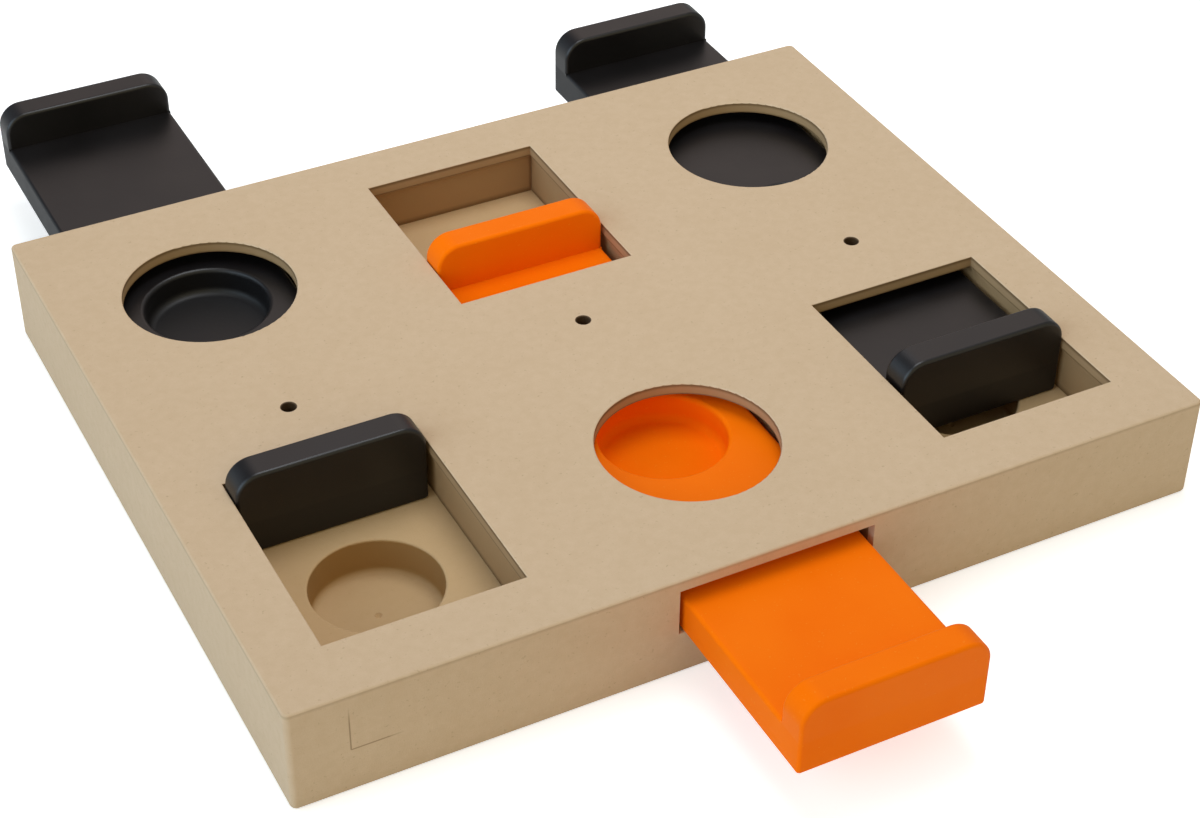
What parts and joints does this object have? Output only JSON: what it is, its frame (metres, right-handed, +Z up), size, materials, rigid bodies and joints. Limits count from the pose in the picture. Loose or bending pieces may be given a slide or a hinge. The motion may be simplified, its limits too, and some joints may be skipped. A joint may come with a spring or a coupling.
{
  "type": "dog puzzle feeder toy",
  "caption": "Flat wooden dog puzzle: painted sliders pull out of a layered board and uncover treat wells under square and round windows.",
  "frame": {"origin": "centre of the board's underside", "axes": "+Z up, +X to the right along the front edge, +Y towards the back edge, along which the sliders travel"},
  "size_m": [0.3, 0.3875, 0.0445],
  "materials": {
    "fibreboard": "bare sanded medium-density fibreboard, matte",
    "black_painted_wood": "semi-gloss black paint",
    "orange_painted_wood": "semi-gloss orange paint",
    "dowel_wood": "bare beech, inside the slider"
  },
  "bodies": {
    "board": {"top_panel": "fibreboard", "base_panel": "fibreboard", "left_side_rail": "fibreboard", "right_side_rail": "fibreboard", "left_divider": "fibreboard", "right_divider": "fibreboard", "left_front_plug": "fibreboard", "middle_back_plug": "fibreboard", "right_front_plug": "fibreboard"},
    "left_slider": {"left_slider_plate": "black_painted_wood", "left_inner_grip": "black_painted_wood", "left_outer_grip": "black_painted_wood", "left_grip_dowels": "dowel_wood"},
    "middle_slider": {"middle_slider_plate": "orange_painted_wood", "middle_inner_grip": "orange_painted_wood", "middle_outer_grip": "orange_painted_wood", "middle_grip_dowels": "dowel_wood"},
    "right_slider": {"right_slider_plate": "black_painted_wood", "right_inner_grip": "black_painted_wood", "right_outer_grip": "black_painted_wood", "right_grip_dowels": "dowel_wood"}
  },
  "joints": [
    {"name": "left_slide", "type": "slide", "parent": "board", "child": "left_slider", "axis": [0, 1, 0], "range_m": [-0.06467, 0.00032]},
    {"name": "middle_slide", "type": "slide", "parent": "board", "child": "middle_slider", "axis": [0, -1, 0], "range_m": [-0.0468, 0.0182]},
    {"name": "right_slide", "type": "slide", "parent": "board", "child": "right_slider", "axis": [0, 1, 0], "range_m": [-0.02405, 0.04095]}
  ]
}
